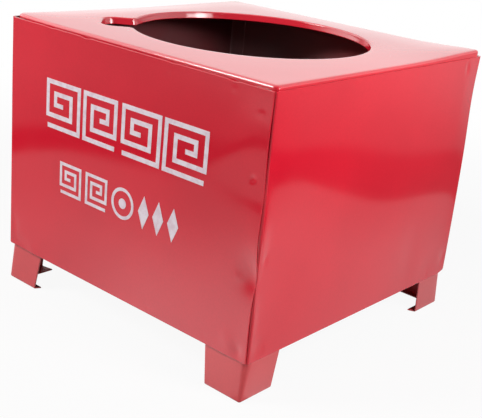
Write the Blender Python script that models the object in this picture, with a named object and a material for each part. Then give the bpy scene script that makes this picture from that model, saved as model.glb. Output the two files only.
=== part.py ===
"""Stand for one portable fire extinguisher, folded and spot-welded from thin painted sheet steel.

A square box without much height stands on four short corner legs. The extinguisher is lowered
through a round hole in the top, whose edge is drawn down into a collar, and rests on the bottom
plate. A slot opens the hole towards the front left corner, so that the hose can hang beside the
cylinder. The two side panels are folded round at their front and back edges, and the flat front
and back panels are welded over those folds.

Metres, +Z up. The origin is on the ground, under the middle of the box. The front is at -Y.
"""

import math

import bmesh
import bpy

# The box.
BODY_WIDTH = 0.2320        # over the outer faces of the side panels
BODY_DEPTH = 0.2270        # over the outer faces of the front and back panels
RIM_HEIGHT = 0.1922        # ground to the rim of the top plate
WALL_BOTTOM = 0.0270       # ground to the lower edge of the walls
RIM_STEP = 0.0016          # the walls stop this far below the rim
SHEET = 0.0008             # thickness of walls, top and bottom
SEAM = 0.0003              # clearance between two sheets that lie on each other

# The folded edges of the side panels, which carry the front and back panels.
FOLD_RADIUS = 0.0014       # outer radius of the upright folds
SIDE_FLANGE = 0.0140       # width of the strip behind the front or back panel
PANEL_OVERLAP = 0.0006     # a flat panel reaches this far past the start of the fold

# The top plate, its hole and the slot for the hose.
RIM_RADIUS = 0.0020        # outer radius of the fold round the rim
RIM_CORNER_RADIUS = 0.0045  # the four corners of the rim, seen from above
RIM_FLANGE = 0.0120        # height of the flange under the rim
HOLE_RADIUS = 0.0805       # at the raw lower edge of the collar
LIP_RADIUS = 0.0012        # rounded edge where the deck turns down into the collar
COLLAR_DRAFT = 0.0009      # the collar narrows by this much towards its raw lower edge
COLLAR_HEIGHT = 0.0046     # lip to the raw lower edge of the collar
CROWN = 0.0009             # the deck rises this much from the rim to the hole
SLOT_WIDTH = 0.0320        # inside its collar
SLOT_REACH = 0.1005        # middle of the hole to the end of the slot
SLOT_END_RADIUS = 0.0090   # the two corners at the end of the slot
SLOT_MOUTH_RADIUS = 0.0060  # where the slot opens into the hole
SLOT_MOUTH_SHARE = 0.75    # of the slot's wall, the most that the mouth's rounding may take up
SLOT_END_SHARE = 0.90      # the same for the end's rounding, of the wall that the mouth leaves
SLOT_DIRECTION = math.radians(225)

# The bottom plate, a tray with its flanges turned up.
TRAY_RISE = 0.0010         # lower edge of the walls to the underside of the plate
TRAY_FLANGE = 0.0120
TRAY_RADIUS = 0.0020       # outer radius of the fold along its lower edges

# The legs, pressed angles with a lip turned in at the ground.
LEG_SHEET = 0.0010
LEG_CORNER_RADIUS = 0.0055  # upright bend inside the box, which sharpens towards the ground
LEG_GROUND_RADIUS = 0.0018
LEG_REACH_X = 0.0343       # corner to the upright edge of the flank along the front or back
LEG_REACH_Y = 0.0305       # the same for the flank along a side
LEG_TAPER_X = 0.0043       # the flanks narrow by this much from the walls to the ground
LEG_TAPER_Y = 0.0035
LEG_SPLAY_X = -0.0010      # the flanks have moved outwards by this much at the ground
LEG_SPLAY_Y = 0.0022
LEG_OVERLAP = 0.0350       # height of the leg inside the box
FOOT_RADIUS = 0.0016       # fold between a flank and the lip
FOOT_LIP = 0.0058          # outer face of a flank to the inner edge of the lip
FOOT_LIP_TURN = 0.0018     # the lip is longer at its inner edge by this much

# How finely the round places are divided.
HOLE_STEPS = 64
CORNER_STEPS = 4
FOLD_STEPS = 4

WALL_TOP = RIM_HEIGHT - RIM_STEP
INNER_X = BODY_WIDTH / 2 - SHEET - SEAM
INNER_Y = BODY_DEPTH / 2 - 2 * (SHEET + SEAM)


def paint(name, colour, roughness):
    """A red enamel, as one Principled material."""
    material = bpy.data.materials.new(name)
    material.use_nodes = True
    shader = material.node_tree.nodes["Principled BSDF"]
    shader.inputs["Base Color"].default_value = (*colour, 1)
    shader.inputs["Roughness"].default_value = roughness
    shader.inputs["Metallic"].default_value = 0
    material.diffuse_color = (*colour, 1)
    return material


def finish(name, mesh, material, thickness=None):
    """Turn a bmesh into an object. With a thickness, its faces are the outer side of a sheet."""
    data = bpy.data.meshes.new(name)
    mesh.to_mesh(data)
    mesh.free()
    thing = bpy.data.objects.new(name, data)
    bpy.context.scene.collection.objects.link(thing)
    data.materials.append(material)
    if thickness:
        wall = thing.modifiers.new("sheet", "SOLIDIFY")
        wall.thickness = thickness
        wall.offset = -1
        wall.use_even_offset = True
        wall.use_quality_normals = True
    return thing


def loft(mesh, rows, closed=False):
    """Join rows of as many points each by four-sided faces, and return the rows of vertices."""
    made = [[mesh.verts.new(point) for point in row] for row in rows]
    for upper, lower in zip(made, made[1:]):
        ends = zip(range(len(upper)), range(1, len(upper) + closed))
        for here, there in ends:
            there %= len(upper)
            mesh.faces.new((upper[here], lower[here], lower[there], upper[there]))
    return made


def flat_panel(name, side, material):
    """Front or back panel: one flat sheet with raw edges, over the folds of the side panels."""
    width = BODY_WIDTH - 2 * (FOLD_RADIUS - PANEL_OVERLAP)
    height = WALL_TOP - WALL_BOTTOM
    mesh = bmesh.new()
    bmesh.ops.create_cube(mesh, size=1)
    bmesh.ops.scale(mesh, vec=(width, SHEET, height), verts=mesh.verts)
    middle = (0, side * (BODY_DEPTH - SHEET) / 2, WALL_BOTTOM + height / 2)
    bmesh.ops.translate(mesh, vec=middle, verts=mesh.verts)
    return finish(name, mesh, material)


def side_panel(name, side, material):
    """Side panel: a flat face whose upright edges are folded in behind the front and back."""
    face_x = side * BODY_WIDTH / 2
    flange_x = side * (BODY_WIDTH / 2 - SIDE_FLANGE)
    flange_y = BODY_DEPTH / 2 - SHEET - SEAM
    plan = [(flange_x, -flange_y), (face_x, -flange_y), (face_x, flange_y), (flange_x, flange_y)]
    mesh = bmesh.new()
    rows = [[(x, y, height) for x, y in plan] for height in (WALL_TOP, WALL_BOTTOM)]
    upper, lower = loft(mesh, rows)
    folds = [mesh.edges.get((upper[corner], lower[corner])) for corner in (1, 2)]
    bmesh.ops.bevel(mesh, geom=folds, offset=FOLD_RADIUS, offset_type="OFFSET", affect="EDGES",
                    segments=FOLD_STEPS, profile=0.5, material=-1)
    if side < 0:
        bmesh.ops.reverse_faces(mesh, faces=mesh.faces)
    return finish(name, mesh, material, SHEET)


def pan(half_x, half_y, low, high, open_side, fold_radius, corner_radius):
    """An open box with rounded folds, as the outer side of its sheet. open_side is 1 or -1 in Z."""
    mesh = bmesh.new()
    bmesh.ops.create_cube(mesh, size=1)
    bmesh.ops.scale(mesh, vec=(2 * half_x, 2 * half_y, high - low), verts=mesh.verts)
    bmesh.ops.translate(mesh, vec=(0, 0, (low + high) / 2), verts=mesh.verts)
    left_open = [face for face in mesh.faces if face.normal.z * open_side > 0.5]
    bmesh.ops.delete(mesh, geom=left_open, context="FACES_ONLY")
    upright = [edge for edge in mesh.edges
               if abs(edge.verts[0].co.z - edge.verts[1].co.z) > (high - low) / 2]
    bmesh.ops.bevel(mesh, geom=upright, offset=corner_radius, offset_type="OFFSET",
                    affect="EDGES", segments=CORNER_STEPS, profile=0.5, material=-1)
    plate = max(mesh.faces, key=lambda face: face.calc_area() * abs(face.normal.z))
    bmesh.ops.bevel(mesh, geom=list(plate.edges), offset=fold_radius, offset_type="OFFSET",
                    affect="EDGES", segments=FOLD_STEPS, profile=0.5, material=-1)
    return mesh


def hole_outline(offset, height):
    """The hole with its slot, seen from above, grown by offset and lying at one height."""
    radius = HOLE_RADIUS + offset
    half = SLOT_WIDTH / 2 + offset
    reach = SLOT_REACH + offset
    # The mouth's rounding touches the circle and the side of the slot. In a slot that is short
    # for them, both roundings are limited by its wall.
    wall = SLOT_REACH - math.sqrt(HOLE_RADIUS ** 2 - (SLOT_WIDTH / 2) ** 2)
    mouth = min(SLOT_MOUTH_RADIUS, wall * SLOT_MOUTH_SHARE) - offset
    mouth_across = half + mouth
    mouth_along = math.sqrt((radius + mouth) ** 2 - mouth_across ** 2)
    end = min(SLOT_END_RADIUS + offset, (reach - mouth_along) * SLOT_END_SHARE)
    opening = math.atan2(mouth_across, mouth_along)
    # One side of the slot, from its end to the circle, as (along, across).
    end_across = half - end
    side = [(reach - end + end * math.cos(turn), end_across + end * math.sin(turn))
            for turn in steps(0, math.pi / 2, CORNER_STEPS)]
    side += [(mouth_along + mouth * math.cos(turn), mouth_across + mouth * math.sin(turn))
             for turn in steps(-math.pi / 2, opening - math.pi, CORNER_STEPS)]
    side += [(radius * math.cos(turn), radius * math.sin(turn))
             for turn in steps(opening, math.pi, HOLE_STEPS // 2)[1:-1]]
    other = [(along, -across) for along, across in reversed(side)]
    turn_x, turn_y = math.cos(SLOT_DIRECTION), math.sin(SLOT_DIRECTION)
    return [(along * turn_x - across * turn_y, along * turn_y + across * turn_x, height)
            for along, across in side + [(-radius, 0)] + other]


def steps(first, last, count):
    """Evenly spaced values from first to last, both included."""
    return [first + (last - first) * step / count for step in range(count + 1)]


def top_plate(name, material):
    """Top plate: a deck with a folded rim, and a hole whose edge is drawn down into a collar."""
    mesh = pan(INNER_X, INNER_Y, RIM_HEIGHT - RIM_FLANGE, RIM_HEIGHT, -1, RIM_RADIUS,
               RIM_CORNER_RADIUS)
    deck = max(mesh.faces, key=lambda face: face.calc_area())
    rim = list(deck.edges)
    bmesh.ops.delete(mesh, geom=[deck], context="FACES_ONLY")
    lip = RIM_HEIGHT + CROWN
    rows = [hole_outline(COLLAR_DRAFT + LIP_RADIUS * (1 - math.sin(turn)),
                         lip - LIP_RADIUS * (1 - math.cos(turn)))
            for turn in steps(0, math.pi / 2, FOLD_STEPS)]
    rows.append(hole_outline(0, lip - COLLAR_HEIGHT))
    edge = loft(mesh, rows, closed=True)[0]
    edges = [mesh.edges.get(pair) for pair in zip(edge, edge[1:] + edge[:1])]
    bmesh.ops.triangle_fill(mesh, use_beauty=True, edges=rim + edges, normal=(0, 0, 1))
    bmesh.ops.recalc_face_normals(mesh, faces=mesh.faces)
    if max(mesh.faces, key=lambda face: face.calc_area()).normal.z < 0:
        bmesh.ops.reverse_faces(mesh, faces=mesh.faces)
    return finish(name, mesh, material, SHEET)


def bottom_plate(name, material):
    """Bottom plate: a tray inside the legs, with its flanges turned up behind the walls."""
    room = LEG_SHEET + SEAM
    low = WALL_BOTTOM + TRAY_RISE
    mesh = pan(INNER_X - room, INNER_Y - room, low, low + TRAY_FLANGE, 1, TRAY_RADIUS,
               LEG_CORNER_RADIUS - room)
    return finish(name, mesh, material, SHEET)


def leg_plan(inset, longer, height, side_x, side_y):
    """A leg seen from above at one height: flank, rounded corner, flank, moved in by inset."""
    down = max(0, 1 - height / WALL_BOTTOM)
    bend = LEG_CORNER_RADIUS + (LEG_GROUND_RADIUS - LEG_CORNER_RADIUS) * down
    radius = max(bend - inset, LEG_SHEET)
    flat_x = INNER_X + LEG_SPLAY_X * down - inset
    flat_y = INNER_Y + LEG_SPLAY_Y * down - inset
    plan = [(INNER_X - LEG_REACH_X + LEG_TAPER_X * down - longer, flat_y)]
    plan += [(flat_x - radius + radius * math.cos(turn), flat_y - radius + radius * math.sin(turn))
             for turn in steps(math.pi / 2, 0, CORNER_STEPS)]
    plan.append((flat_x, INNER_Y - LEG_REACH_Y + LEG_TAPER_Y * down - longer))
    return [(side_x * x, side_y * y, height) for x, y in plan]


def leg(name, side_x, side_y, material):
    """Leg: a pressed angle that narrows towards the ground, with a lip turned in under it."""
    rows = [(0, 0, WALL_BOTTOM + LEG_OVERLAP), (0, 0, WALL_BOTTOM)]
    rows += [(FOOT_RADIUS * (1 - math.cos(turn)), 0, FOOT_RADIUS * (1 - math.sin(turn)))
             for turn in steps(0, math.pi / 2, FOLD_STEPS)]
    rows.append((FOOT_LIP, FOOT_LIP_TURN, 0))
    mesh = bmesh.new()
    loft(mesh, [leg_plan(*row, side_x, side_y) for row in rows])
    if side_x * side_y > 0:
        bmesh.ops.reverse_faces(mesh, faces=mesh.faces)
    return finish(name, mesh, material, LEG_SHEET)


def build():
    for thing in list(bpy.data.objects):
        bpy.data.objects.remove(thing)
    bright = paint("panel_red", (0.58, 0.026, 0.040), 0.22)
    deep = paint("leg_red", (0.50, 0.022, 0.034), 0.28)
    inside = paint("inner_red", (0.34, 0.015, 0.022), 0.40)
    flat_panel("front_panel", -1, bright)
    flat_panel("back_panel", 1, bright)
    side_panel("left_side_panel", -1, bright)
    side_panel("right_side_panel", 1, bright)
    top_plate("top_plate", bright)
    bottom_plate("bottom_plate", inside)
    for depth_name, side_y in (("front", -1), ("back", 1)):
        for width_name, side_x in (("left", -1), ("right", 1)):
            leg(f"leg_{depth_name}_{width_name}", side_x, side_y, deep)


build()
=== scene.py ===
import math

import bmesh
import bpy
from mathutils import Matrix, Vector


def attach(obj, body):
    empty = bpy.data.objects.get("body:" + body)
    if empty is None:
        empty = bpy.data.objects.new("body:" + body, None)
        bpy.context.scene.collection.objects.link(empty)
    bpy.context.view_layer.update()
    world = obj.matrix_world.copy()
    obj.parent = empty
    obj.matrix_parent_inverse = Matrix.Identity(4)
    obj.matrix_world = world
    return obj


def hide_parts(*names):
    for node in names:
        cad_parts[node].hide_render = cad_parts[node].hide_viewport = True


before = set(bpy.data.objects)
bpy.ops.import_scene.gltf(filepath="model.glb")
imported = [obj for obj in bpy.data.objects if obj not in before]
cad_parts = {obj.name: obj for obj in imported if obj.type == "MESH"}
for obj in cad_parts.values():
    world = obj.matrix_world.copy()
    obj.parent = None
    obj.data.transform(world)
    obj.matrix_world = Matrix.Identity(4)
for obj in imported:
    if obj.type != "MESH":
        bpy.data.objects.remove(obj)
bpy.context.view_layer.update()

# The camera stands to the right of the near corner, a little above the deck, and looks down at
# the stand. It was turned slightly about its own axis when the picture was taken.
CAMERA_PLACE = (0.42240, -0.50195, 0.30382)
CAMERA_RIGHT = (0.74409, 0.66146, 0.09376)
CAMERA_UP = (-0.29419, 0.19842, 0.93491)
CAMERA_BACK = (0.59981, -0.72325, 0.34224)

lens = bpy.data.cameras.new("camera")
lens.sensor_width = 36
lens.lens = 71.53
camera = bpy.data.objects.new("camera", lens)
bpy.context.scene.collection.objects.link(camera)
axes = Matrix((CAMERA_RIGHT, CAMERA_UP, CAMERA_BACK)).transposed().to_4x4()
camera.matrix_world = Matrix.Translation(CAMERA_PLACE) @ axes
bpy.context.scene.camera = camera
bpy.context.scene.view_settings.view_transform = "Standard"


# The studio is a white floor between the two side walls of a photographic tent that is square to
# the camera. The walls are pale cloth with a darker hem along the floor, and the gloss shows them.
TENT_RIGHT = Vector((0.7697, 0.6384, 0))
TENT_FRONT = Vector((0.6384, -0.7697, 0))
FLOOR_SIZE = 9.0
FLOOR_WHITE = 0.55
SHADOW_SHARE = 0.07
NEAR_CORNER = (0.105, -0.102, 0)
BRIGHT_SPOT = (0.300, -0.060, 0)
# How bright the gloss shows the floor, what the left, the strip in front and the bright spot add
# to it, and what share the dark cloth before the near corner takes away.
FLOOR_GLOW = 0.62
LEFT_GLOW = 0.90
STRIP_GLOW = 0.22
SPOT_GLOW = 1.2
DARK_SHARE = 0.65


class Link:
    """One output in a node tree. Operators on it add Math nodes, and add() makes any other node."""

    def __init__(self, tree, output=None):
        self.tree = tree
        self.output = output

    def add(self, kind, settings=None, inputs=None, output=0):
        """Make a node from its type, its settings and the values or links of its sockets."""
        node = self.tree.nodes.new(kind)
        for name, value in (settings or {}).items():
            setattr(node, name, value)
        for name, value in (inputs or {}).items():
            if isinstance(value, Link):
                self.tree.links.new(value.output, node.inputs[name])
            else:
                node.inputs[name].default_value = value
        return Link(self.tree, node.outputs[output] if node.outputs else None)

    def maths(self, operation, *values):
        """Make a Math node on values that are links or plain numbers."""
        return self.add("ShaderNodeMath", {"operation": operation}, dict(enumerate(values)))

    def __add__(self, other):
        return self.maths("ADD", self, other)

    def __sub__(self, other):
        return self.maths("SUBTRACT", self, other)

    def __rsub__(self, other):
        return self.maths("SUBTRACT", other, self)

    def __mul__(self, other):
        return self.maths("MULTIPLY", self, other)

    __radd__ = __add__
    __rmul__ = __mul__

    def size(self):
        """The value without its sign."""
        return self.maths("ABSOLUTE", self)

    def fade(self, start, end):
        """0 where the value is at start, 1 where it is at end, smooth between them."""
        return self.add("ShaderNodeMapRange", {"interpolation_type": "SMOOTHSTEP"},
                        {"Value": self, "From Min": start, "From Max": end})

    def along(self, direction):
        """How far the vector reaches in one direction."""
        return self.add("ShaderNodeVectorMath", {"operation": "DOT_PRODUCT"},
                        {0: self, 1: direction}, output=1)

    def blend(self, first, second):
        """The first colour where the value is 0, the second where it is 1."""
        return self.add("ShaderNodeMix", {"data_type": "RGBA"},
                        {0: self, 6: first, 7: second}, output=2)


def blank_material(name):
    """A material whose nodes are only its output, and a link to start from."""
    made = bpy.data.materials.new(name)
    made.use_nodes = True
    made.node_tree.nodes.clear()
    return made, Link(made.node_tree)


def place_mesh(name, mesh, *materials):
    """Turn a finished bmesh into an object at the origin."""
    data = bpy.data.meshes.new(name)
    mesh.to_mesh(data)
    mesh.free()
    for one in materials:
        data.materials.append(one)
    thing = bpy.data.objects.new(name, data)
    bpy.context.scene.collection.objects.link(thing)
    return thing


floor_white, start = blank_material("studio_white")
lit = start.add("ShaderNodeBsdfDiffuse", inputs={"Color": (FLOOR_WHITE, FLOOR_WHITE, FLOOR_WHITE, 1)})
seen = start.add("ShaderNodeLightPath", output="Is Camera Ray")
mirrored = start.add("ShaderNodeLightPath", output="Is Glossy Ray")
through = start.add("ShaderNodeLightPath", output="Is Transmission Ray")
place = start.add("ShaderNodeTexCoord", output="Object")
from_corner = start.add("ShaderNodeVectorMath", {"operation": "SUBTRACT"}, {0: place, 1: NEAR_CORNER})
toward = start.add("ShaderNodeVectorMath", {"operation": "NORMALIZE"}, {0: from_corner})
dark_cloth = toward.along(TENT_FRONT).fade(0.70, 0.92) * DARK_SHARE
to_right = place.along(TENT_RIGHT)
to_front = place.along(TENT_FRONT)
on_left = to_right.fade(-0.32, -0.08) * to_front.fade(0.02, 0.12) * to_right.fade(0.10, -0.06)
on_strip = to_right.size().fade(0.39, 0.24)
from_spot = start.add("ShaderNodeVectorMath", {"operation": "DISTANCE"},
                      {0: place, 1: BRIGHT_SPOT}, output=1)
on_spot = from_spot.fade(0.09, 0.02)
glow = on_left * LEFT_GLOW + on_strip * STRIP_GLOW + FLOOR_GLOW + on_spot * SPOT_GLOW
floor_glow = glow * (1 - dark_cloth)
plain = start.add("ShaderNodeEmission", inputs={
    "Color": (1, 1, 1, 1), "Strength": 1 + mirrored * (floor_glow - 1)})
away = start.add("ShaderNodeVectorMath", {"operation": "LENGTH"}, {0: place}, output=1)
shadow = away.fade(0.75, 0.30) * SHADOW_SHARE
share = (seen + mirrored + through) * (1 - shadow)
start.add("ShaderNodeOutputMaterial", inputs={
    "Surface": start.add("ShaderNodeMixShader", inputs={0: share, 1: lit, 2: plain})})
mesh = bmesh.new()
bmesh.ops.create_grid(mesh, x_segments=4, y_segments=4, size=FLOOR_SIZE / 2)
floor = place_mesh("studio_floor", mesh, floor_white)

# The air gives a little light all round, is white to the camera, and shows in the gloss as the
# pale backdrop, the dark room in front, a bright part of the ceiling and the upper right cloth.
WORLD_LEVEL = 0.14
BACKDROP_LEVEL = 1.38
ROOM_LEVEL = 0.25
CEILING_LEVEL = 2.2
CLOTH_LEVEL = 0.55
CEILING_LEFT = (-0.8138, -0.2962, 0.5)
CLOTH_RIGHT = (0.7493, 0.6287, 0.2079)

world = bpy.data.worlds.new("studio_air")
world.use_nodes = True
world.node_tree.nodes.clear()
bpy.context.scene.world = world
start = Link(world.node_tree)
seen = start.add("ShaderNodeLightPath", output="Is Camera Ray")
mirrored = start.add("ShaderNodeLightPath", output="Is Glossy Ray")
through = start.add("ShaderNodeLightPath", output="Is Transmission Ray")
direction = start.add("ShaderNodeTexCoord", output="Object")
room = direction.along(TENT_FRONT).fade(0.30, 0.55)
ceiling = direction.along(CEILING_LEFT).fade(0.78, 0.93) * CEILING_LEVEL
cloth = direction.along(CLOTH_RIGHT).fade(0.80, 0.95) * CLOTH_LEVEL
gloss_level = BACKDROP_LEVEL - room * (BACKDROP_LEVEL - ROOM_LEVEL) + ceiling + cloth
level = WORLD_LEVEL + (seen + through) * (1 - WORLD_LEVEL) + mirrored * (gloss_level - WORLD_LEVEL)
start.add("ShaderNodeOutputWorld", inputs={
    "Surface": start.add("ShaderNodeBackground", inputs={"Color": (1, 1, 1, 1), "Strength": level})})

# Each tent wall shows only in the gloss. Its front part passes into its back part over a stretch
# of its length, and each pair of glows is for those two parts: the glow of the hem, what the cloth
# adds to it above the hem, and what it adds again higher up. An end is told by the two heights
# between which one passes into the next.
WALL_DEPTH = 1.7
WALL_HEIGHT = 0.24
TENT_WALLS = {
    "tent_left": {
        "distance": -0.45, "front_to_back": (0.26, 0.12),
        "hem_glow": (0.02, 0.02), "hem_end": (0.020, 0.034), "cloth_glow": (0.30, 0.30),
        "upper_end": (0.045, 0.100), "upper_glow": (0.60, 0.10)},
    "tent_right": {
        "distance": 0.409, "front_to_back": (0.10, -0.12),
        "hem_glow": (0.02, 0.15), "hem_end": (0.040, 0.055), "cloth_glow": (0.27, 0.22),
        "upper_end": (0.050, 0.140), "upper_glow": (0.20, 0.40)},
}
for wall_name, given in TENT_WALLS.items():
    cloth, start = blank_material(wall_name + "_cloth")
    place = start.add("ShaderNodeTexCoord", output="Object")
    height = place.along((0, 0, 1))
    to_back = place.along(TENT_FRONT).fade(*given["front_to_back"])
    in_hem, over_hem, higher_up = (
        to_back * (at_back - at_front) + at_front
        for at_front, at_back in (given["hem_glow"], given["cloth_glow"], given["upper_glow"]))
    above_hem = height.fade(*given["hem_end"])
    glow = above_hem * over_hem + height.fade(*given["upper_end"]) * higher_up + in_hem
    start.add("ShaderNodeOutputMaterial", inputs={
        "Surface": start.add("ShaderNodeEmission", inputs={"Color": (1, 1, 1, 1), "Strength": glow})})
    mesh = bmesh.new()
    bmesh.ops.create_grid(mesh, x_segments=1, y_segments=1, size=0.5)
    upright = Matrix((TENT_FRONT, Vector((0, 0, 1)), TENT_RIGHT)).transposed().to_4x4()
    bmesh.ops.scale(mesh, vec=(WALL_DEPTH, WALL_HEIGHT, 1), verts=mesh.verts)
    bmesh.ops.transform(mesh, matrix=upright, verts=mesh.verts)
    bmesh.ops.translate(mesh, vec=TENT_RIGHT * given["distance"] + Vector((0, 0, WALL_HEIGHT / 2)),
                        verts=mesh.verts)
    wall = place_mesh(wall_name, mesh, cloth)
    wall.visible_camera = False
    wall.visible_diffuse = False
    wall.visible_transmission = False
    wall.visible_shadow = False

# Soft lamps stand on the left and on the right, behind the low tent walls, and the folds and the
# collar mirror them. The right one is a wide panel with a brighter middle. The last one hangs over
# the right wall, close to the stand, so that the light falls off towards the floor, and the gloss
# doesn't show it. Each has its place, the point that it faces, its width and height, and its watts.
LAMPS = {
    "lamp_right": ((0.700, 0.135, 0.420), (0, 0, 0.15), (0.38, 0.10), 1.05),
    "lamp_right_middle": ((0.690, 0.115, 0.415), (0, 0, 0.15), (0.15, 0.10), 0.55),
    "lamp_left": ((-0.50, -0.71, 0.76), (0, 0, 0.12), (0.36, 0.36), 9.7),
    "lamp_over_right": ((0.420, -0.045, 0.360), (0.05, 0, 0.12), (0.12, 0.12), 1.06),
}
for lamp_name, (stand_at, faces, spread, watts) in LAMPS.items():
    lamp = bpy.data.lights.new(lamp_name, "AREA")
    lamp.shape = "RECTANGLE"
    lamp.size, lamp.size_y = spread
    lamp.energy = watts
    thing = bpy.data.objects.new(lamp_name, lamp)
    bpy.context.scene.collection.objects.link(thing)
    thing.location = stand_at
    thing.rotation_euler = (Vector(faces) - Vector(stand_at)).to_track_quat("-Z", "Y").to_euler()
    thing.visible_glossy = lamp_name != "lamp_over_right"


# The front panel is one flat steel sheet with raw edges, spot-welded over the folds of the side
# panels and enamelled red. It is not quite flat, and each weld left a small hollow.
BODY_WIDTH = 0.2320
BODY_DEPTH = 0.2270
WALL_BOTTOM = 0.0270
WALL_TOP = 0.1906
WALL_MIDDLE = (WALL_BOTTOM + WALL_TOP) / 2
WALL_HEIGHT_SPAN = WALL_TOP - WALL_BOTTOM
SHEET = 0.0008
PANEL_HALF = 0.1152
MESH_STEP = 0.00125
EDGE_ROUND = 0.00034
EDGE_LOOP = 0.0005

# The spot welds, by their place along the panel and their height. Each left a hollow inside a low
# ring, told by how far it reaches along and up, and by its depth.
FRONT_WELDS = [(-0.106, 0.0315), (-0.0725, 0.186), (-0.0396, 0.1855), (0.038, 0.1852),
               (0.0876, 0.1862), (0.1084, 0.1771), (0.1057, 0.1384), (0.0311, 0.0318),
               (0.0809, 0.0325), (-0.108, 0.176), (-0.1075, 0.136), (-0.108, 0.082),
               (-0.0455, 0.0316)]
WELD_HOLLOW = (0.0016, 0.0018, 0.00021)
WELD_RING = (0.0038, 0.0038, -0.00006)
# Soft dents: place along, height, how far they reach each way, and depth, which is negative where
# the sheet is pushed out. Beyond DENT_END squared reaches a dent has no effect.
DENT_END = 12
FRONT_DENTS = [
    (0.1120, 0.0830, 0.0080, 0.0105, 0.00200),
    (0.1069, 0.1400, 0.0017, 0.0017, 0.00045),
    (0.1084, 0.1765, 0.0036, 0.0017, 0.00015),
    (0.1035, 0.0790, 0.0030, 0.0030, -0.00030),
    (0.1190, 0.1040, 0.0100, 0.0160, -0.00055),
    (0.1165, 0.1560, 0.0070, 0.0110, -0.00008),
    (0.1165, 0.0500, 0.0060, 0.0120, -0.00040),
    (0.1150, 0.0790, 0.0050, 0.0070, 0.00030),
    (0.1075, 0.0325, 0.0036, 0.0050, 0.00110),
    (0.0985, 0.0370, 0.0040, 0.0050, -0.00040),
    (-0.1030, 0.0305, 0.0130, 0.0050, 0.00055),
    (-0.1085, 0.0420, 0.0040, 0.0070, 0.00050),
    (-0.0880, 0.0300, 0.0050, 0.0040, -0.00035),
]
# Nicks in the upper edge, by place and depth.
FRONT_NICKS = [(-0.0385, 0.0008), (0.0868, 0.0007), (-0.0720, 0.0003), (0.0385, 0.0003)]
NICK_HALF_WIDTH = 0.0030
NICK_FADE = 0.006
# How far each upright edge was cut short, negative where it stands out, and how much more the
# right one is at the bottom.
SHORT_LEFT = 0.0016
SHORT_RIGHT = -0.0001
SHORT_RIGHT_LOW = 0.0003
# The panel's roll: its slope at half height changes along the panel in one long wave.
FRONT_LEAN = 0.018
FRONT_LEAN_FROM = -0.070
FRONT_LEAN_LENGTH = 0.260
# The buckle begins here, is full this much further right, and has its valley at BUCKLE_LOW, with a
# crest above it that is higher up towards the edge, and a low ridge below it.
BUCKLE_START = 0.066
BUCKLE_REACH = 0.046
BUCKLE_LOW = 0.1310
BUCKLE_MOST = 0.00085
CREST_RISE = 0.010
CREST_RISE_RIGHT = 0.026
RIDGE_FOOT = 0.0550
RIDGE_TOP = 0.1170
RIDGE_MOST = 0.00045


def weld_hollows(welds):
    """Each weld as a small deep hollow inside a wide low ring, in the form that hollow() reads."""
    return [(*weld, *mark) for mark in (WELD_HOLLOW, WELD_RING) for weld in welds]


FRONT_PRESSED = FRONT_DENTS + weld_hollows(FRONT_WELDS)


def hollow(along, height, dents):
    """How far a sheet is pushed in at one point by soft oval dents."""
    depth = 0
    for at_along, at_height, reach_along, reach_height, most in dents:
        far = ((along - at_along) / reach_along) ** 2 + ((height - at_height) / reach_height) ** 2
        if far < DENT_END:
            depth += most * math.exp(-far)
    return depth


def rolling(height, lean):
    """A sheet that leans by the given slope at its middle and is true at its upper and lower edge."""
    turn = math.tau * (height - WALL_MIDDLE) / WALL_HEIGHT_SPAN
    return lean * WALL_HEIGHT_SPAN / math.tau * math.sin(turn)


def ease(share):
    """0 below 0, 1 above 1, smooth between them."""
    share = min(1, max(0, share))
    return share * share * (3 - 2 * share)


def buckle(along, height):
    """Near the right edge the sheet is sprung out above and below a valley at its middle."""
    near = ease((along - BUCKLE_START) / BUCKLE_REACH)
    crest = BUCKLE_LOW + CREST_RISE + CREST_RISE_RIGHT * near
    above = ease((height - BUCKLE_LOW) / (crest - BUCKLE_LOW))
    above *= ease((WALL_TOP - height) / (WALL_TOP - crest))
    below = ease((height - RIDGE_FOOT) / (RIDGE_TOP - RIDGE_FOOT))
    below *= ease((BUCKLE_LOW - height) / (BUCKLE_LOW - RIDGE_TOP))
    return near * (BUCKLE_MOST * above + RIDGE_MOST * below)


def front_surface(along, height):
    """How far the front panel stands proud of its plane."""
    lean = FRONT_LEAN * math.cos(math.tau * (along - FRONT_LEAN_FROM) / FRONT_LEAN_LENGTH)
    return rolling(height, lean) + buckle(along, height) - hollow(along, height, FRONT_PRESSED)


def front_place(along, height):
    """Where a point of the flat sheet ends up: it was cut a little short, with a nicked top edge."""
    left = (PANEL_HALF - along) / (2 * PANEL_HALF)
    low = (WALL_TOP - height) / WALL_HEIGHT_SPAN
    across = along + SHORT_LEFT * left - (SHORT_RIGHT + SHORT_RIGHT_LOW * low) * (1 - left)
    near_top = max(0, 1 - (WALL_TOP - height) / NICK_FADE)
    nick = sum(depth * math.exp(-((across - middle) / NICK_HALF_WIDTH) ** 2)
               for middle, depth in FRONT_NICKS)
    return across, height - nick * near_top


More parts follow.
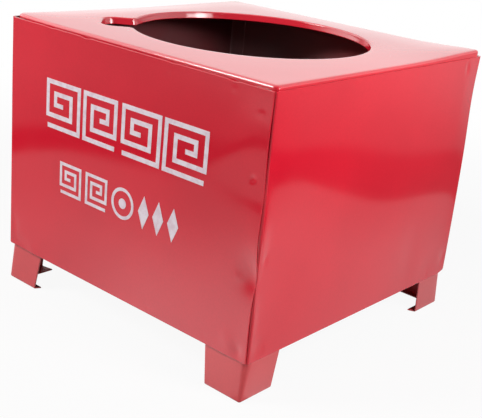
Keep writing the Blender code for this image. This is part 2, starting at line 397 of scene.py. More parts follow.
def sheet_grid(half, reach_low, reach_high, cuts=()):
    """An upright sheet laid flat: a fine grid, with a loop near each raw edge and at each cut."""
    mesh = bmesh.new()
    height = reach_high - reach_low
    bmesh.ops.create_grid(mesh, x_segments=round(2 * half / MESH_STEP),
                          y_segments=round(height / MESH_STEP), size=0.5)
    bmesh.ops.scale(mesh, vec=(2 * half, height, 1), verts=mesh.verts)
    bmesh.ops.translate(mesh, vec=(0, (reach_low + reach_high) / 2, 0), verts=mesh.verts)
    planes = [((side * (half - EDGE_LOOP), 0, 0), (1, 0, 0)) for side in (-1, 1)]
    planes += [((0, level, 0), (0, 1, 0)) for level in (reach_low + EDGE_LOOP, reach_high - EDGE_LOOP)]
    planes += [((side * cut, 0, 0), (1, 0, 0)) for cut in cuts for side in (-1, 1)]
    for cut_at, normal in planes:
        bmesh.ops.bisect_plane(mesh, geom=mesh.verts[:] + mesh.edges[:] + mesh.faces[:],
                               dist=1e-6, plane_co=cut_at, plane_no=normal)
    return mesh


def sheet_piece(name, mesh, thickness, *materials):
    """Give a skin its thickness inwards, round its raw edges and make it an object."""
    thing = place_mesh(name, mesh, *materials)
    wall = thing.modifiers.new("thickness", "SOLIDIFY")
    wall.thickness = thickness
    wall.offset = -1
    wall.use_even_offset = True
    wall.use_quality_normals = True
    wall.material_offset = len(materials) - 1
    edge = thing.modifiers.new("edges", "BEVEL")
    edge.width = EDGE_ROUND
    edge.segments = 2
    edge.limit_method = "ANGLE"
    edge.angle_limit = math.radians(60)
    seen_from = bpy.context.evaluated_depsgraph_get()
    made = bpy.data.meshes.new_from_object(thing.evaluated_get(seen_from))
    skin = thing.data
    thing.modifiers.clear()
    thing.data = made
    made.name = name
    bpy.data.meshes.remove(skin)
    made.shade_smooth()
    made.set_sharp_from_angle(angle=math.radians(40))
    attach(thing, "root")
    return thing


def enamel(name, colour, roughness):
    """Red enamel: slightly cloudy, with orange peel, dust nibs and wiped streaks."""
    made, start = blank_material(name)
    place = start.add("ShaderNodeTexCoord", output="Object")
    cloud = start.add("ShaderNodeTexNoise", inputs={"Vector": place, "Scale": 14.0, "Detail": 3.0})
    grain = start.add("ShaderNodeTexNoise", inputs={"Vector": place, "Scale": 900.0, "Detail": 1.0})
    stretched = start.add("ShaderNodeMapping", inputs={"Vector": place, "Scale": (60.0, 60.0, 9.0)})
    streak = start.add("ShaderNodeTexNoise", inputs={"Vector": stretched, "Scale": 1.0, "Detail": 3.0})
    light = tuple(min(1, part * 1.05) for part in colour)
    deep = tuple(part * 0.93 for part in colour)
    tint = (cloud * 0.7 + grain * 0.3).fade(0.3, 0.7).blend((*deep, 1), (*light, 1))
    peel = start.add("ShaderNodeTexNoise", inputs={"Vector": place, "Scale": 330.0, "Detail": 2.0})
    cells = start.add("ShaderNodeTexVoronoi", inputs={"Vector": place, "Scale": 95.0})
    nib = cells.fade(0.10, 0.04)
    relief = peel * 0.6 + nib * 0.5
    bump = start.add("ShaderNodeBump", inputs={"Height": relief, "Strength": 0.17,
                                               "Distance": 0.00006})
    rough = (streak - 0.5) * 0.08 + roughness
    shader = start.add("ShaderNodeBsdfPrincipled", inputs={
        "Base Color": tint, "Roughness": rough, "Specular IOR Level": 0.62, "Normal": bump})
    start.add("ShaderNodeOutputMaterial", inputs={"Surface": shader})
    return made


shell_red = enamel("shell_red_enamel", (0.655, 0.0095, 0.0270), 0.11)

# The unseen side of every sheet is dark primer with a thin uneven mist of the red. The mist is
# redder towards the bottom as painted light from the hole; the left wall is darkened as painted
# shade, and the back wall is lightened as painted light, most at its right.
PRIMER = (0.230, 0.120, 0.118, 1)
MIST_RED = (0.42, 0.045, 0.050, 1)
PRIMER_LEFT_PAINTED_SHADE = (0.10, 0.022, 0.026, 1)
PRIMER_BACK_PAINTED_LIGHT = (0.36, 0.22, 0.22, 1)
MIST_BACK_PAINTED_LIGHT = (0.66, 0.09, 0.105, 1)

inside_primer_and_painted_light, start = blank_material("inside_dark_primer")
place = start.add("ShaderNodeTexCoord", output="Object")
mist = start.add("ShaderNodeTexNoise", inputs={"Vector": place, "Scale": 22.0, "Detail": 5.0})
speck = start.add("ShaderNodeTexNoise", inputs={"Vector": place, "Scale": 1400.0, "Detail": 2.0})
across, deep, height = (start.add("ShaderNodeSeparateXYZ", inputs={0: place}, output=part)
                        for part in range(3))
# Painted light: the walls are made redder towards the bottom, where light from the hole falls.
low = height.fade(0.085, 0.020)
mist_and_painted_light = ((mist - 0.5) * 1.6 + (speck - 0.5) * 0.8 + low * 0.55 + 0.22).fade(0.0, 1.0)
# Painted shade on the left wall, and painted light on the back wall, lighter towards its right.
left_wall_painted_shade = across.fade(-0.1140, -0.1148) * 0.8
back_wall_painted_light = deep.fade(0.1095, 0.1110) * 0.8
back_painted_light_tint = across.fade(-0.070, 0.040).blend(PRIMER_BACK_PAINTED_LIGHT, MIST_BACK_PAINTED_LIGHT)
tint = back_wall_painted_light.blend(left_wall_painted_shade.blend(mist_and_painted_light.blend(PRIMER, MIST_RED), PRIMER_LEFT_PAINTED_SHADE), back_painted_light_tint)
bump = start.add("ShaderNodeBump", inputs={"Height": mist + speck, "Strength": 0.35,
                                           "Distance": 0.00008})
shader = start.add("ShaderNodeBsdfPrincipled", inputs={
    "Base Color": tint, "Roughness": (mist - 0.5) * 0.2 + 0.45, "Specular IOR Level": 0.15,
    "Normal": bump})
start.add("ShaderNodeOutputMaterial", inputs={"Surface": shader})

mesh = sheet_grid(PANEL_HALF, WALL_BOTTOM, WALL_TOP)
for vert in mesh.verts:
    along, height = front_place(*vert.co[:2])
    vert.co = (along, -BODY_DEPTH / 2 - front_surface(along, height), height)
front = sheet_piece("front_sheet", mesh, SHEET, shell_red, inside_primer_and_painted_light)
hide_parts("front_panel")


# Two rows of white marks are stencilled on the front panel in a thin coat of enamel: four square
# frets, and below them two smaller frets, a ring and three lozenges.
MARK_LIFT = 0.00010
MARK_COAT = 0.00008
# The marks are cut into squares of this size, so that they can follow the dents of the panel. The
# cuts begin at this place along and this height.
MARK_CUT = 0.002
MARK_CUTS = 90
MARK_CUTS_FROM = (-0.09, 0.07)
# The path of a fret, from its open corner to its middle, in shares of its width and its height.
FRET = [(1, 0), (0, 0), (0, 1), (1, 1), (1, 0.25), (0.25, 0.25), (0.25, 0.75), (0.75, 0.75),
        (0.75, 0.5), (0.5, 0.5)]
# Each row of frets: the width of its line, its lowest and highest point, and each fret's sides.
LARGE_LINE = 0.0031
SMALL_LINE = 0.0022
FRET_ROWS = [
    (LARGE_LINE, 0.1245, 0.1575,
     [(-0.0751, -0.0406), (-0.0379, -0.0057), (-0.0017, 0.0331), (0.0354, 0.0717)]),
    (SMALL_LINE, 0.0820, 0.1040, [(-0.0598, -0.0377), (-0.0334, -0.0119)]),
]
RING_MIDDLE = (0.0030, 0.0930)
RING_OUTER = 0.0105
RING_DOT = 0.0034
LOZENGES = [0.0225, 0.0355, 0.0485]
LOZENGE_HALF_WIDTH = 0.0048
LOZENGE_HALF_HEIGHT = 0.0110


def painted_line(mesh, path, width):
    """A line of even width along a path that turns at right angles, cut square at its ends."""
    points = [Vector((*point, 0)) for point in path]
    ahead = [(after - before).normalized() for before, after in zip(points, points[1:])]
    across = [Vector((-step.y, step.x, 0)) for step in ahead]
    turns = [first + second for first, second in zip(across, across[1:])]
    offsets = [across[0], *turns, across[-1]]
    pairs = [(point + offset * width / 2, point - offset * width / 2)
             for point, offset in zip(points, offsets)]
    edge = mesh.edges.new([mesh.verts.new(corner) for corner in pairs[0]])
    for left, right in pairs[1:]:
        first, second = edge.verts
        made = bmesh.ops.extrude_edge_only(mesh, edges=[edge])["geom"]
        edge = next(item for item in made if isinstance(item, bmesh.types.BMEdge))
        for vert, corner in ((first, left), (second, right)):
            pulled = next(link.other_vert(vert) for link in vert.link_edges
                          if link.other_vert(vert) in edge.verts)
            pulled.co = corner


mark_mesh = bmesh.new()
for line, lowest, highest, frets in FRET_ROWS:
    low, high = lowest + line / 2, highest - line / 2
    for index, (left, right) in enumerate(frets):
        ends = (right - line / 2, left + line / 2)
        near, far = reversed(ends) if index % 2 else ends
        path = [(near + (far - near) * across, low + (high - low) * up) for across, up in FRET]
        painted_line(mark_mesh, path, line)
ring = bmesh.ops.create_circle(mark_mesh, cap_ends=False, radius=RING_OUTER, segments=48)["verts"]
inner = bmesh.ops.create_circle(mark_mesh, cap_ends=False, radius=RING_OUTER - SMALL_LINE,
                                segments=48)["verts"]
edges = {edge for vert in ring + inner for edge in vert.link_edges}
bmesh.ops.bridge_loops(mark_mesh, edges=list(edges))
dot = bmesh.ops.create_circle(mark_mesh, cap_ends=True, radius=RING_DOT, segments=32)["verts"]
bmesh.ops.translate(mark_mesh, vec=(*RING_MIDDLE, 0), verts=ring + inner + dot)
for middle in LOZENGES:
    shape = bmesh.ops.create_circle(mark_mesh, cap_ends=True, radius=1, segments=4)["verts"]
    bmesh.ops.scale(mark_mesh, vec=(LOZENGE_HALF_WIDTH, LOZENGE_HALF_HEIGHT, 1), verts=shape)
    bmesh.ops.translate(mark_mesh, vec=(middle, RING_MIDDLE[1], 0), verts=shape)
for step in range(1, MARK_CUTS):
    cut_along, cut_height = (first + step * MARK_CUT for first in MARK_CUTS_FROM)
    for cut_at, normal in (((cut_along, 0, 0), (1, 0, 0)), ((0, cut_height, 0), (0, 1, 0))):
        whole = mark_mesh.verts[:] + mark_mesh.edges[:] + mark_mesh.faces[:]
        bmesh.ops.bisect_plane(mark_mesh, geom=whole, dist=1e-7, plane_co=cut_at, plane_no=normal)
for face in mark_mesh.faces:
    if face.normal.z < 0:
        face.normal_flip()
for vert in mark_mesh.verts:
    along, height = vert.co[:2]
    vert.co = (along, -BODY_DEPTH / 2 - front_surface(along, height) - MARK_LIFT, height)

mark_white, start = blank_material("stencil_white")
place = start.add("ShaderNodeTexCoord", output="Object")
thin = start.add("ShaderNodeTexNoise", inputs={"Vector": place, "Scale": 260.0, "Detail": 4.0})
tint = thin.fade(0.35, 0.75).blend((0.80, 0.71, 0.77, 1), (0.70, 0.55, 0.62, 1))
bump = start.add("ShaderNodeBump", inputs={"Height": thin, "Strength": 0.3, "Distance": 0.00005})
shader = start.add("ShaderNodeBsdfPrincipled", inputs={
    "Base Color": tint, "Roughness": thin * 0.2 + 0.3, "Normal": bump})
start.add("ShaderNodeOutputMaterial", inputs={"Surface": shader})
marks = place_mesh("front_marks", mark_mesh, mark_white)
film = marks.modifiers.new("film", "SOLIDIFY")
film.thickness = MARK_COAT
film.offset = -1
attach(marks, "root")


# The back panel is the same flat sheet on the side that the picture doesn't show, with its own
# welds and its own slight roll.
BACK_WELDS = [(side * along, height) for side in (-1, 1)
              for along, height in ((0.107, 0.177), (0.107, 0.132), (0.107, 0.080), (0.106, 0.032),
                                    (0.040, 0.1855), (0.040, 0.0318), (0.086, 0.1858))]
BACK_PRESSED = weld_hollows(BACK_WELDS) + [(-0.104, 0.0300, 0.0120, 0.0060, 0.00025),
                                           (0.030, 0.100, 0.0500, 0.0350, 0.00035)]
BACK_LEAN = 0.014
BACK_LEAN_FROM = 0.030
BACK_LEAN_LENGTH = 0.210
# A knock has pushed in the upper part of the upright edge at the back right. It begins at this
# place along, is full this much further on, and is deepest at this height.
KNOCK_START = 0.092
KNOCK_REACH = 0.022
KNOCK_HEIGHT = 0.163
KNOCK_HALF_HEIGHT = 0.030
KNOCK_DEPTH = 0.0014
# The lower corner there is pushed up, fading out along the sheet and up it.
BENT_REACH = 0.006
BENT_HEIGHT = 0.012
BACK_BENT = 0.0018


def pushed_edge(along, height, most):
    """How far a knock has pushed the upper part of the upright edge at the back right inwards."""
    near_height = math.exp(-((height - KNOCK_HEIGHT) / KNOCK_HALF_HEIGHT) ** 2)
    return most * ease((along - KNOCK_START) / KNOCK_REACH) * near_height


def bent_corner(distance, height, most):
    """How far a knock has pushed up a lower corner, at one distance from the upright edge."""
    near_edge = math.exp(-(max(0, distance) / BENT_REACH) ** 2)
    return most * near_edge * max(0, 1 - (height - WALL_BOTTOM) / BENT_HEIGHT)


mesh = sheet_grid(PANEL_HALF, WALL_BOTTOM, WALL_TOP)
for vert in mesh.verts:
    along, height = vert.co[:2]
    lean = BACK_LEAN * math.cos(math.tau * (along - BACK_LEAN_FROM) / BACK_LEAN_LENGTH)
    proud = rolling(height, lean) - hollow(along, height, BACK_PRESSED)
    pushed = pushed_edge(along, height, KNOCK_DEPTH)
    height += bent_corner(PANEL_HALF - along, height, BACK_BENT)
    vert.co = (along - pushed, BODY_DEPTH / 2 + proud, height)
bmesh.ops.reverse_faces(mesh, faces=mesh.faces)
back = sheet_piece("back_sheet", mesh, SHEET, shell_red, inside_primer_and_painted_light)
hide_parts("back_panel")


# Each side panel is a sheet whose upright edges are folded in as flanges, to which the front and
# the back are welded. The folds have a small round outer radius.
FOLD_RADIUS = 0.0014
SIDE_FLANGE = 0.0140
SEAM = 0.0003
FLANGE_FACE = BODY_DEPTH / 2 - SHEET - SEAM
FLAT_HALF = FLANGE_FACE - FOLD_RADIUS
FOLD_LENGTH = FOLD_RADIUS * math.pi / 2
STRIP_HALF = FLAT_HALF + FOLD_LENGTH + SIDE_FLANGE - FOLD_RADIUS
FOLD_CUTS = [FLAT_HALF + FOLD_LENGTH * step / 6 for step in range(7)]
# The folds hold the sheet true: the higher this power, the closer to them it can still roll.
HOLD_POWER = 20
# The right panel leans more near its front edge, most of all at this place along.
NEAR_LEAN_AT = -0.092
NEAR_LEAN_REACH = 0.022
# Faces further in than this from the outer face of the wall belong to the unpainted flanges.
FLANGE_FROM = 0.004

# For each side: how far its lower corner at the back is bent up and its upright edge there pushed
# in, its slope at half height, which changes in one long wave, and its welds and dents, told as
# those of the front panel are.
SIDES = {
    "right": {
        "side": 1, "bent": 0.0020, "pushed": KNOCK_DEPTH,
        "lean": 0.0175, "lean_from": -0.0884, "lean_length": 0.199, "near_lean": 0.020,
        "welds": [(0.0941, 0.1862), (0.0862, 0.0318), (-0.1000, 0.0335), (-0.040, 0.1860),
                  (0.028, 0.1858), (-0.0920, 0.1862)],
        "dents": [(-0.1118, 0.1050, 0.0058, 0.0155, -0.00120), (-0.1115, 0.0560, 0.0034, 0.0200, -0.00045),
                  (-0.1115, 0.0840, 0.0024, 0.0045, -0.00055), (-0.1060, 0.0925, 0.0022, 0.0034, 0.00050),
                  (-0.1190, 0.0830, 0.0075, 0.0115, 0.00200), (-0.1203, 0.0325, 0.0045, 0.0060, 0.00090),
                  (0.0950, 0.1835, 0.0022, 0.0032, 0.00055), (0.0570, 0.0520, 0.0120, 0.0240, 0.00035),
                  (0.0850, 0.0360, 0.0100, 0.0080, 0.00025), (-0.1030, 0.0350, 0.0050, 0.0055, 0.00045),
                  (0.1080, 0.0400, 0.0050, 0.0060, 0.00050)]},
    "left": {
        "side": -1, "bent": 0.0006, "pushed": 0.0,
        "lean": 0.0150, "lean_from": 0.0300, "lean_length": 0.230, "near_lean": 0.0,
        "welds": [(-0.090, 0.1860), (-0.030, 0.1860), (0.034, 0.1858), (0.092, 0.1862),
                  (-0.088, 0.0320), (0.090, 0.0320)],
        "dents": [(0.020, 0.070, 0.0350, 0.0300, 0.00035), (-0.080, 0.040, 0.0150, 0.0100, 0.00020)]},
}
for side_name, given in SIDES.items():
    side = given["side"]
    pressed = given["dents"] + weld_hollows(given["welds"])
    mesh = sheet_grid(STRIP_HALF, WALL_BOTTOM, WALL_TOP, FOLD_CUTS)
    for vert in mesh.verts:
        run, height = vert.co[:2]
        held = 1 - min(1, abs(run) / FLAT_HALF) ** HOLD_POWER
        wave = given["lean"] * math.cos(math.tau * (run - given["lean_from"]) / given["lean_length"])
        near_lean = given["near_lean"] * math.exp(-((run - NEAR_LEAN_AT) / NEAR_LEAN_REACH) ** 2)
        lean = held * (wave + near_lean)
        proud = rolling(height, lean) - hollow(run, height, pressed)
        turned = min(max(abs(run) - FLAT_HALF, 0), FOLD_LENGTH) / FOLD_RADIUS
        straight = min(abs(run), FLAT_HALF)
        along = straight + FOLD_RADIUS * math.sin(turned)
        inward = FOLD_RADIUS * (1 - math.cos(turned)) + max(abs(run) - FLAT_HALF - FOLD_LENGTH, 0)
        face = BODY_WIDTH / 2 + proud * math.cos(turned) - inward
        face -= pushed_edge(run, height, given["pushed"])
        height += bent_corner(FLAT_HALF + FOLD_LENGTH - run, height, given["bent"])
        vert.co = (side * face, math.copysign(along + proud * math.sin(turned), run), height)
    for face in mesh.faces:
        face.material_index = int(abs(face.calc_center_median().x) < BODY_WIDTH / 2 - FLANGE_FROM)
    if side < 0:
        bmesh.ops.reverse_faces(mesh, faces=mesh.faces)
    panel = sheet_piece(side_name + "_side_sheet", mesh, SHEET, shell_red, inside_primer_and_painted_light)
    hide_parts(side_name + "_side_panel")


# The top plate is a pressing: a deck whose rim is folded down inside the walls, and a round hole,
# drawn down into a collar, with a slot for the hose towards the front left corner.
RIM_HEIGHT = 0.1922
RIM_HALF_X = 0.1149
RIM_HALF_Y = 0.1113
RIM_RADIUS = 0.0020
RIM_CORNERS = {(1, -1): 0.0028, (1, 1): 0.0045, (-1, 1): 0.0065, (-1, -1): 0.0080}
RIM_FLANGE = 0.0120
HOLE_RADIUS = 0.0805
LIP_RADIUS = 0.0012
COLLAR_DRAFT = 0.0009
COLLAR_HEIGHT = 0.0046
CROWN = 0.0009
SLOT_HALF = 0.0160
SLOT_REACH = 0.1005
SLOT_END = 0.0090
SLOT_MOUTH = 0.0060
SLOT_DIRECTION = math.radians(225)
# The crown ends this far from the rim. The deck also has one low wave, and the rim is lifted a
# little, more at the right and less at the back.
RIM_SWELL = 0.0340
DECK_WAVE = 0.00020
RIM_LIFT = 0.00035
RIM_LIFT_RIGHT = 0.00045
RIM_LIFT_BACK = -0.00025
# Where the deck is sprung up or, in the last entry, sunk: place, reach each way, and height.
DECK_SPRUNG = [(RIM_HALF_X, RIM_HALF_Y, 0.030, 0.050, 0.0023),
               (-RIM_HALF_X, -RIM_HALF_Y, 0.022, 0.022, 0.0007),
               (-RIM_HALF_X, 0, 0.016, 0.070, -0.0009)]
# The angles at which the lines that end the slot's flat end, its round end and its wall meet the
# rim, measured from the slot's own direction.
FLAT_TURN = 0.045
END_TURN = 0.150
WALL_TURN = 0.180


def even(first, last, count):
    """Evenly spaced values from first to last, both included."""
    return [first + (last - first) * step / count for step in range(count + 1)]


MOUTH_ANGLE = math.atan2(SLOT_HALF + SLOT_MOUTH,
                         math.sqrt((HOLE_RADIUS + SLOT_MOUTH) ** 2 - (SLOT_HALF + SLOT_MOUTH) ** 2))
# Extra lines run close to three corners of the rim. The slot's own lines end close to the fourth.
corner = math.atan2(RIM_HALF_Y, RIM_HALF_X)
rim_corners = [turn - SLOT_DIRECTION for turn in (corner, math.pi - corner, math.tau - corner)]
near_corners = [math.remainder(turn, math.tau) + math.radians(off)
                for turn in rim_corners for off in (-1.9, -1.3, -0.8, -0.3, 0.3, 0.8, 1.3, 1.9)]
round_turns = sorted(even(MOUTH_ANGLE, math.tau - MOUTH_ANGLE, 132)
                     + [turn % math.tau for turn in near_corners])

# One entry for each upright line of the pressing: where it is on the hole, told by kind, amount
# and the side of the slot, and the angle at which it meets the rim.
slot_side = [("flat", amount, FLAT_TURN * amount) for amount in even(0, 1, 5)[:-1]]
slot_side += [("end", turn, FLAT_TURN + (END_TURN - FLAT_TURN) * turn / (math.pi / 2))
              for turn in even(0, math.pi / 2, 8)]
slot_side += [("wall", amount, END_TURN + (WALL_TURN - END_TURN) * amount) for amount in (0.33, 0.66)]
slot_side += [("mouth", amount, WALL_TURN + (MOUTH_ANGLE - WALL_TURN) * amount)
              for amount in even(0, 1, 8)]
columns = [(kind, amount, 1, turn) for kind, amount, turn in slot_side]
columns += [("round", turn, 1, turn) for turn in round_turns[1:-1]]
columns += [(kind, amount, -1, -turn) for kind, amount, turn in reversed(slot_side[1:])]


def hole_point(kind, amount, hand, offset):
    """A point of the hole's outline, grown by offset, in the slot's own direction."""
    radius = HOLE_RADIUS + offset
    half = SLOT_HALF + offset
    mouth = SLOT_MOUTH - offset
    end = SLOT_END + offset
    reach = SLOT_REACH + offset
    mouth_across = half + mouth
    mouth_along = math.sqrt((radius + mouth) ** 2 - mouth_across ** 2)
    opening = math.atan2(mouth_across, mouth_along)
    if kind == "round":
        share = (amount - MOUTH_ANGLE) / (math.tau - 2 * MOUTH_ANGLE)
        turn = opening + (math.tau - 2 * opening) * share
        return radius * math.cos(turn), radius * math.sin(turn)
    if kind == "flat":
        along, across = reach, (half - end) * amount
    elif kind == "end":
        along, across = reach - end + end * math.cos(amount), half - end + end * math.sin(amount)
    elif kind == "wall":
        along, across = reach - end + (mouth_along - reach + end) * amount, half
    else:
        turn = -math.pi / 2 + (opening - math.pi / 2) * amount
        along, across = mouth_along + mouth * math.cos(turn), mouth_across + mouth * math.sin(turn)
    return along, across * hand


def rim_point(turn, inset):
    """The point of the rim's rounded outline that is seen at an angle, moved in by inset."""
    away = Vector((math.cos(turn + SLOT_DIRECTION), math.sin(turn + SLOT_DIRECTION)))
    reach = min(RIM_HALF_X / max(abs(away.x), 1e-9), RIM_HALF_Y / max(abs(away.y), 1e-9))
    point = away * reach
    side_x, side_y = math.copysign(1, away.x), math.copysign(1, away.y)
    radius = RIM_CORNERS[side_x, side_y]
    middle = Vector((side_x * (RIM_HALF_X - radius), side_y * (RIM_HALF_Y - radius)))
    if (point.x - middle.x) * side_x > 0 and (point.y - middle.y) * side_y > 0:
        ahead = away.dot(middle)
        point = away * (ahead + math.sqrt(ahead ** 2 - middle.length_squared + radius ** 2))
        outward = (point - middle).normalized()
    elif abs(away.x) * RIM_HALF_Y > abs(away.y) * RIM_HALF_X:
        outward = Vector((side_x, 0))
    else:
        outward = Vector((0, side_y))
    return point - outward * inset


def deck_height(x, y):
    """The deck is crowned, it is not quite true, and its corners are sprung: most the right one."""
    near_x, near_y = (max(0, 1 - (half - abs(distance)) / RIM_SWELL)
                      for distance, half in ((x, RIM_HALF_X), (y, RIM_HALF_Y)))
    inside = (1 - near_x ** 2) * (1 - near_y ** 2)
    wave = DECK_WAVE * math.sin(26 * x + 1.0) * math.sin(31 * y - 0.6)
    lift = RIM_LIFT + RIM_LIFT_RIGHT * x / RIM_HALF_X + RIM_LIFT_BACK * y / RIM_HALF_Y
    sprung = sum(most * math.exp(-((x - at_x) / reach_x) ** 2 - ((y - at_y) / reach_y) ** 2)
                 for at_x, at_y, reach_x, reach_y, most in DECK_SPRUNG)
    return RIM_HEIGHT + (CROWN + wave) * inside + lift * (1 - inside) + sprung


def top_rows():
    """The rows of the pressing, with their drop below the deck: collar, lip, deck, fold and flange."""
    collar = COLLAR_HEIGHT - LIP_RADIUS
    for share in (0, EDGE_LOOP / collar, 0.4, 0.7):
        yield "hole", COLLAR_DRAFT * share, COLLAR_HEIGHT - collar * share
    for turn in even(0, math.pi / 2, 6):
        yield "hole", COLLAR_DRAFT + LIP_RADIUS * (1 - math.cos(turn)), LIP_RADIUS * (1 - math.sin(turn))
    for share in even(0, 1, 16)[1:-1]:
        yield "deck", share, 0
    for turn in even(0, math.pi / 2, 6):
        yield "rim", RIM_RADIUS * (1 - math.sin(turn)), RIM_RADIUS * (1 - math.cos(turn))
    for drop in (0.006, RIM_FLANGE - EDGE_LOOP, RIM_FLANGE):
        yield "rim", 0, drop


def top_place(column, row):
    """Where one upright line of the pressing crosses one row."""
    kind, amount, hand, turn = column
    part, value, drop = row
    edge = rim_point(turn, RIM_RADIUS)
    if part == "rim":
        return (*rim_point(turn, value), deck_height(*edge) - drop)
    away_x, away_y = math.cos(SLOT_DIRECTION), math.sin(SLOT_DIRECTION)
    along, across = hole_point(kind, amount, hand, COLLAR_DRAFT + LIP_RADIUS)
    lip_x, lip_y = along * away_x - across * away_y, along * away_y + across * away_x
    if part == "hole":
        along, across = hole_point(kind, amount, hand, value)
        x, y = along * away_x - across * away_y, along * away_y + across * away_x
        return x, y, deck_height(lip_x, lip_y) - drop
    x, y = lip_x + (edge.x - lip_x) * value, lip_y + (edge.y - lip_y) * value
    return x, y, deck_height(x, y)


def pull(mesh, ring, closed):
    """Extrude a chain of vertices, and return the new ones in the same order."""
    ends = zip(ring, ring[1:] + ring[:1]) if closed else zip(ring, ring[1:])
    edges = [mesh.edges.get(pair) for pair in ends]
    made = bmesh.ops.extrude_edge_only(mesh, edges=edges)["geom"]
    fresh = {item for item in made if isinstance(item, bmesh.types.BMVert)}
    return [next(link.other_vert(vert) for link in vert.link_edges if link.other_vert(vert) in fresh)
            for vert in ring]


mesh = bmesh.new()
ring = bmesh.ops.create_circle(mesh, cap_ends=False, radius=HOLE_RADIUS, segments=len(columns))["verts"]
for number, row in enumerate(top_rows()):
    if number:
        ring = pull(mesh, ring, True)
    for vert, column in zip(ring, columns):
        vert.co = top_place(column, row)
mesh.normal_update()
deck = max(mesh.faces, key=lambda face: face.calc_area() * abs(face.normal.z))
if deck.normal.z < 0:
    bmesh.ops.reverse_faces(mesh, faces=mesh.faces)
top = sheet_piece("top_sheet", mesh, SHEET, shell_red, inside_primer_and_painted_light)
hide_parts("top_plate")


# The bottom plate is a shallow tray inside the legs, its flanges turned up behind the walls. The
# extinguisher stands on it, and its foot has rubbed a ring into the thin paint.
LEG_SHEET = 0.0010
TRAY_HALF_X = RIM_HALF_X - LEG_SHEET - SEAM
TRAY_HALF_Y = RIM_HALF_Y - LEG_SHEET - SEAM
TRAY_LOW = 0.0280
TRAY_FLANGE = 0.0120
TRAY_RADIUS = 0.0020
TRAY_CORNER = 0.0042
FOOT_RING = 0.0700

tray_red, start = blank_material("tray_thin_red")
place = start.add("ShaderNodeTexCoord", output="Object")
flat = start.add("ShaderNodeVectorMath", {"operation": "MULTIPLY"}, {0: place, 1: (1, 1, 0)})
out = start.add("ShaderNodeVectorMath", {"operation": "LENGTH"}, {0: flat}, output=1)
mist = start.add("ShaderNodeTexNoise", inputs={"Vector": place, "Scale": 30.0, "Detail": 5.0})
speck = start.add("ShaderNodeTexNoise", inputs={"Vector": place, "Scale": 1100.0, "Detail": 2.0})
rubbed = (out - FOOT_RING).size().fade(0.006, 0.001) * mist.fade(0.40, 0.62)
paint = (mist * 0.7 + speck * 0.3).fade(0.3, 0.7).blend((0.16, 0.010, 0.014, 1),
                                                        (0.36, 0.014, 0.022, 1))
tint = (rubbed * 0.8).blend(paint, (0.10, 0.075, 0.07, 1))
bump = start.add("ShaderNodeBump", inputs={
    "Height": mist + speck * 0.6 - rubbed * 0.4, "Strength": 0.3, "Distance": 0.00008})
shader = start.add("ShaderNodeBsdfPrincipled", inputs={
    "Base Color": tint, "Roughness": (mist - 0.5) * 0.3 + 0.42, "Metallic": rubbed * 0.5,
    "Normal": bump})
start.add("ShaderNodeOutputMaterial", inputs={"Surface": shader})

mesh = bmesh.new()
bmesh.ops.create_cube(mesh, size=1)
bmesh.ops.scale(mesh, vec=(2 * TRAY_HALF_X, 2 * TRAY_HALF_Y, TRAY_FLANGE), verts=mesh.verts)
bmesh.ops.translate(mesh, vec=(0, 0, TRAY_LOW + TRAY_FLANGE / 2), verts=mesh.verts)
lid = [face for face in mesh.faces if face.normal.z > 0.5]
bmesh.ops.delete(mesh, geom=lid, context="FACES_ONLY")
corner_edges = [edge for edge in mesh.edges
                if abs(edge.verts[0].co.z - edge.verts[1].co.z) > TRAY_FLANGE / 2]
bmesh.ops.bevel(mesh, geom=corner_edges, offset=TRAY_CORNER, offset_type="OFFSET", affect="EDGES",
                segments=6, profile=0.5, material=-1)
plate = max(mesh.faces, key=lambda face: face.calc_area() * abs(face.normal.z))
bmesh.ops.bevel(mesh, geom=list(plate.edges), offset=TRAY_RADIUS, offset_type="OFFSET", affect="EDGES",
                segments=6, profile=0.5, material=-1)
tray = sheet_piece("bottom_sheet", mesh, SHEET, tray_red)
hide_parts("bottom_plate")


# Each leg is a pressed angle welded inside a corner. Its flanks narrow towards the ground, where
# a lip is turned in, and its enamel is a little thinner and duller than that of the walls.
LEG_CORNER = 0.0055
LEG_GROUND_CORNER = 0.0018
LEG_TOP = 0.0620
LEG_REACH_X = 0.0343
LEG_REACH_Y = 0.0305
LEG_TAPER_X = 0.0043
LEG_TAPER_Y = 0.0035
LEG_SPLAY_X = -0.0010
LEG_SPLAY_Y = 0.0022
FOOT_RADIUS = 0.0016
FOOT_LIP_TURN = 0.0018
# How far the two lips of each foot reach in, across and deep.
FOOT_LIPS = {"front_left": (0.0105, 0.0052), "front_right": (0.0058, 0.0058),
             "back_left": (0.0064, 0.0056), "back_right": (0.0060, 0.0070)}

# One entry for each row of a leg: how far round the foot's fold, how far over its lip, and height.
LEG_HEIGHTS = (LEG_TOP, LEG_TOP - EDGE_LOOP, 0.045, WALL_BOTTOM, 0.021, 0.015, 0.009, 0.004)
LEG_ROWS = [(0, 0, height) for height in LEG_HEIGHTS]
LEG_ROWS += [(1 - math.cos(turn), 0, FOOT_RADIUS * (1 - math.sin(turn)))
             for turn in even(0, math.pi / 2, 6)]
LEG_ROWS += [(1, share, 0) for share in (0.45, 0.88, 1)]
# Where the lines of a flank run, in shares of the way from its edge to the rounded corner.
FLANK_SHARES = (0, 0.02, 0.25, 0.5, 0.75)

leg_red = enamel("leg_red_enamel", (0.63, 0.055, 0.063), 0.30)


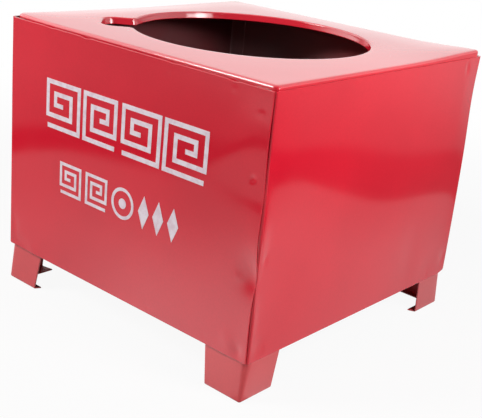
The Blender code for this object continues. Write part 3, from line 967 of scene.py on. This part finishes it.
def leg_plan(fold, over, height, lip_x, lip_y):
    """A leg seen from above at one height: flank, rounded corner, flank, moved in over its lips."""
    down = max(0, 1 - height / WALL_BOTTOM)
    inset_x, inset_y = (fold * FOOT_RADIUS + over * (lip - FOOT_RADIUS) for lip in (lip_x, lip_y))
    bend = LEG_CORNER + (LEG_GROUND_CORNER - LEG_CORNER) * down
    radius = max(bend - min(inset_x, inset_y), LEG_SHEET)
    flat_x = RIM_HALF_X + LEG_SPLAY_X * down - inset_x
    flat_y = RIM_HALF_Y + LEG_SPLAY_Y * down - inset_y
    first = RIM_HALF_X - LEG_REACH_X + LEG_TAPER_X * down - over * FOOT_LIP_TURN
    last = RIM_HALF_Y - LEG_REACH_Y + LEG_TAPER_Y * down - over * FOOT_LIP_TURN
    arc = [(flat_x - radius + radius * math.cos(turn), flat_y - radius + radius * math.sin(turn))
           for turn in even(math.pi / 2, 0, 8)]
    plan = [(first + (arc[0][0] - first) * share, flat_y) for share in FLANK_SHARES]
    plan += arc
    plan += [(flat_x, last + (arc[-1][1] - last) * share) for share in reversed(FLANK_SHARES)]
    return [(x, y, height) for x, y in plan]


for depth_name, side_y in (("front", -1), ("back", 1)):
    for width_name, side_x in (("left", -1), ("right", 1)):
        lips = FOOT_LIPS[f"{depth_name}_{width_name}"]
        mesh = bmesh.new()
        chain = [mesh.verts.new(point) for point in leg_plan(*LEG_ROWS[0], *lips)]
        for pair in zip(chain, chain[1:]):
            mesh.edges.new(pair)
        for row in LEG_ROWS[1:]:
            chain = pull(mesh, chain, False)
            for vert, point in zip(chain, leg_plan(*row, *lips)):
                vert.co = point
        bmesh.ops.scale(mesh, vec=(side_x, side_y, 1), verts=mesh.verts)
        mesh.normal_update()
        outer = max(mesh.faces, key=lambda face: face.calc_center_median().y * side_y)
        if outer.normal.y * side_y < 0:
            bmesh.ops.reverse_faces(mesh, faces=mesh.faces)
        leg = sheet_piece(f"{depth_name}_{width_name}_foot", mesh, LEG_SHEET, leg_red, inside_primer_and_painted_light)
        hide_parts(f"leg_{depth_name}_{width_name}")
